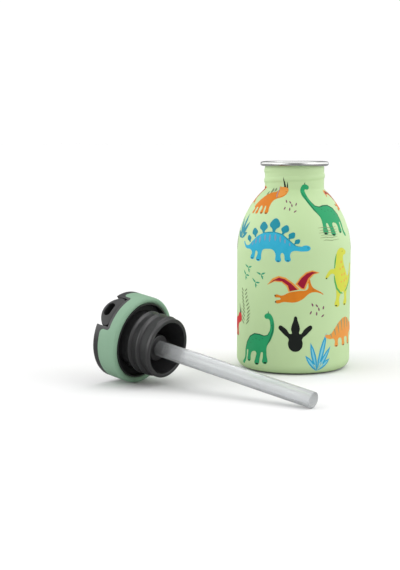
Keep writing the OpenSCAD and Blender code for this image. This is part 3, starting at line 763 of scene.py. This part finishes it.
# ---- lid: grip sleeve ----
# A soft green rubber band is moulded in a groove round the ring. Its lower edge is a full bead, and it
# stops short of the channel's mouth on three sides.
sleeve_green = finish("green_rubber", srgb(128, 160, 135), srgb(120, 153, 128), (0.58, 0.7), grain=3500,
    patches=90, bump=0.35, depth=0.02, Specular_IOR_Level=0.35)
bead_x, bead_z = LID_R - SLEEVE_ROUND, RING_LOW + SLEEVE_ROUND
sleeve = lathe("grip_sleeve_rubber", [(SLEEVE_R, LIP_Z), (SLEEVE_R, RING_LOW + 2 * SLEEVE_ROUND),
                                      (SKIRT_OUT_R, RING_LOW + 2 * SLEEVE_ROUND)]
               + arc(bead_x, bead_z, SLEEVE_ROUND, 180, 360, 16) + [(LID_R, LIP_Z)])
cut(sleeve, notch)
soften(sleeve, 0.25)
lay_down(sleeve, sleeve_green, "lid", "green_grip", "grip_sleeve")

# ---- lid: threaded plug, boss and nipple ----
# One black moulding closes the lid from below: a flange, a hollow plug with a coarse thread and a collar
# at its end, and an off-centre boss whose nipple carries the straw.
PLUG_R, PLUG_BORE_R, PLUG_END, COLLAR_R, COLLAR_H = 15.2, 13.7, -21.3, 15.9, 2.0
BOSS_R, BOSS_END, NIPPLE_R, NIPPLE_END, PORT_R = 7.0, -13.7, 3.25, -18.9, 2.3
RIDGE_START, RIDGE_TURNS, RIDGE_R = -18.3, 2.6, 16.5
plug = lathe("thread_plug_moulded", [(0, FLANGE_T - 0.05), (SKIRT_IN_R - 0.05, FLANGE_T - 0.05),
        (SKIRT_IN_R - 0.05, 0), (PLUG_R, 0), (PLUG_R, PLUG_END + COLLAR_H + 0.5),
        (PLUG_R + 0.25, PLUG_END + COLLAR_H + 0.1), (COLLAR_R, PLUG_END + COLLAR_H - 0.3)]
    + arc(COLLAR_R - 0.5, PLUG_END + 0.5, 0.5, 0, -90, 5) + arc(PLUG_BORE_R + 0.4, PLUG_END + 0.4, 0.4,
        270, 180, 5) + [(PLUG_BORE_R, -1.0), (PLUG_BORE_R - 0.3, -0.3), (PLUG_BORE_R - 1.0, 0), (0, 0)],
    closed=False)
boss = lathe("boss", [(PORT_R, 0.5), (BOSS_R + 0.8, 0.5), (BOSS_R + 0.8, 0), (BOSS_R + 0.2, -0.3),
        (BOSS_R, -1.0)] + arc(BOSS_R - 0.6, BOSS_END + 0.6, 0.6, 0, -90, 5) + [(NIPPLE_R, BOSS_END)]
    + arc(NIPPLE_R - 0.35, NIPPLE_END + 0.35, 0.35, 0, -90, 3) + [(PORT_R, NIPPLE_END)], steps=64)
boss.data.transform(Matrix.Translation((HINGE_X * MM, 0, 0)))
ridge_steps = round(RIDGE_TURNS * 60)
ridge_section = [(PLUG_R - 0.4, -1.5), (PLUG_R, -1.4), (PLUG_R + 0.35, -1.1), (RIDGE_R - 0.3, -0.72),
    (RIDGE_R - 0.06, -0.5), (RIDGE_R, -0.2), (RIDGE_R, 0.2), (RIDGE_R - 0.06, 0.5),
    (RIDGE_R - 0.3, 0.72), (PLUG_R + 0.35, 1.1), (PLUG_R, 1.4), (PLUG_R - 0.4, 1.5)]
deselect()
bpy.ops.mesh.primitive_circle_add(vertices=len(ridge_section), radius=MM)
ridge = bpy.context.object
for v, (r, z) in zip(ridge.data.vertices, ridge_section):
    v.co = (r * MM, 0, z * MM)
step = ridge.modifiers.new("thread", "SCREW")
step.axis, step.angle, step.screw_offset = "Z", 2 * math.pi * RIDGE_TURNS, PITCH * RIDGE_TURNS * MM
step.steps = step.render_steps = ridge_steps
bpy.ops.object.modifier_apply(modifier="thread")
for i, v in enumerate(ridge.data.vertices):
    turn = i // len(ridge_section)
    rise = min(1, turn / 10, (ridge_steps - turn) / 10)
    r = v.co.xy.length / MM
    v.co.xy *= (PLUG_R - 0.4 + (r - PLUG_R + 0.4) * max(0.1, rise)) / r
bpy.ops.object.mode_set(mode="EDIT")
bpy.ops.mesh.select_all(action="SELECT")
bpy.ops.mesh.fill_holes(sides=0)
bpy.ops.mesh.select_all(action="SELECT")
bpy.ops.mesh.normals_make_consistent(inside=False)
bpy.ops.object.mode_set(mode="OBJECT")
bpy.ops.object.shade_smooth_by_angle(angle=math.radians(40))
ridge.data.transform(Matrix.Translation((0, 0, RIDGE_START * MM)))
deselect()
for part in (ridge, boss, plug):
    part.select_set(True)
bpy.context.view_layer.objects.active = plug
bpy.ops.object.join()
lay_down(plug, black_plastic, "lid", "black_plastic", "thread_plug")

# ---- lid: sealing ring and small parts ----
# The bottle's lip presses on a flat silicone ring round the plug. The port seal and the air valve are clear
# silicone, and two steel pins carry the spout.
GASKET_T = 1.6
black_silicone = finish("black_silicone", srgb(22, 22, 23), srgb(28, 28, 29), (0.6, 0.72), grain=3500,
    bump=0.2, Specular_IOR_Level=0.3)
gasket = lathe("sealing_ring", [(PLUG_R + 0.1, 0), (SKIRT_IN_R - 0.1, 0),
        (SKIRT_IN_R - 0.1, 0.4 - GASKET_T), (SKIRT_IN_R - 0.5, -GASKET_T), (PLUG_R + 0.5, -GASKET_T),
        (PLUG_R + 0.1, 0.4 - GASKET_T)])
lay_down(gasket, black_silicone, "lid", "black_silicone", "lid_gasket")
clear_silicone = finish("clear_silicone", srgb(225, 226, 222), srgb(214, 216, 212), (0.4, 0.5), bump=0.1,
    Transmission_Weight=0.5)
for node, surface in (("port_seal", clear_silicone), ("vent_valve", clear_silicone),
    ("hinge_pins", bare_steel)):
    frame["nodes"][node].data.materials.clear()
    frame["nodes"][node].data.materials.append(surface)

# ---- spout ----
# The spout folds into the channel. Its arm is rigid plastic with a hinge barrel, and its domed tip is soft
# black silicone with an oval drinking hole, flush with the ring.
SPOUT_Z, SPOUT_W, SPOUT_T, CORNER, DOME_R, SOFT_X, TIP_R = 2.9, 18.2, 8.2, 2.4, 11.9, 12.7, 23.0
HOLE_W, HOLE_H, HOLE_Z = 8.0, 4.0, 7.6
half = SPOUT_W / 2
dome_edge = math.degrees(math.asin(half / DOME_R))
section = (arc(half - CORNER, SPOUT_Z + CORNER, CORNER, -90, 0, 6)
           + arc(0, SPOUT_Z + SPOUT_T - DOME_R, DOME_R, 90 - dome_edge, 90 + dome_edge, 24)
           + arc(-half + CORNER, SPOUT_Z + CORNER, CORNER, 180, 270, 6))
soft_black = finish("soft_black_silicone", srgb(34, 34, 35), srgb(28, 28, 29), (0.42, 0.55), grain=3500,
    bump=0.25)
tip = bar("mouthpiece_soft", section, SOFT_X + 0.05, 30)
cut(tip, lathe("tip_end", [(0, 0), (TIP_R, 0), (TIP_R, 20), (0, 20)], steps=160, closed=False), "INTERSECT")
soften(tip, 0.9, 4)
hole = (arc((HOLE_W - HOLE_H) / 2, HOLE_Z, HOLE_H / 2, -90, 90, 10) + arc((HOLE_H - HOLE_W) / 2, HOLE_Z,
        HOLE_H / 2, 90, 270, 10))
cut(tip, bar("hole", hole, SOFT_X + 4, 30))
soften(tip, 0.3, 3, 60)
lay_down(tip, soft_black, "spout", "black_silicone", "mouthpiece")

arm = bar("spout_arm_moulded", section, HINGE_X, SOFT_X - 0.05)
barrel = lathe("barrel", [(0, -half), (SPOUT_T / 2, -half), (SPOUT_T / 2, half), (0, half)], steps=64,
    closed=False)
barrel.data.transform(Matrix.Translation((HINGE_X * MM, 0, HINGE_Z * MM)) @ Matrix.Rotation(math.pi / 2,
        4, "X"))
cut(arm, block((HINGE_X - 1, -half - 1, SPOUT_Z - 1), (HINGE_X + 4.6, half + 1, SPOUT_Z + 1.2)))
cut(arm, barrel, "UNION")
soften(arm, 0.35)
lay_down(arm, black_plastic, "spout", "black_plastic", "spout_arm")

# ---- straw ----
# A straight clear plastic tube, pushed on the nipple up to the boss.
STRAW_R, STRAW_BORE_R, STRAW_END = 4.2, 3.3, -111.7
clear_plastic = finish("clear_plastic", srgb(252, 253, 254), srgb(246, 249, 250), (0.08, 0.14),
    grain=900, patches=50, bump=0.02, Transmission_Weight=0.76, IOR=1.4)
straw = lathe("straw_tube", arc(STRAW_R - 0.3, BOSS_END - 0.3, 0.3, 90, 0, 3)
    + [(STRAW_R, STRAW_END * (i / 8) + BOSS_END * (1 - i / 8)) for i in range(1, 8)]
    + arc(STRAW_R - 0.3, STRAW_END + 0.3, 0.3, 0, -90, 3) + arc(STRAW_BORE_R + 0.3, STRAW_END + 0.3, 0.3,
        270, 180, 3) + [(STRAW_BORE_R, BOSS_END)], steps=64)
straw.data.transform(Matrix.Translation((HINGE_X * MM, 0, 0)))
lay_down(straw, clear_plastic, "straw", "clear_plastic", "straw")

low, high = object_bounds()
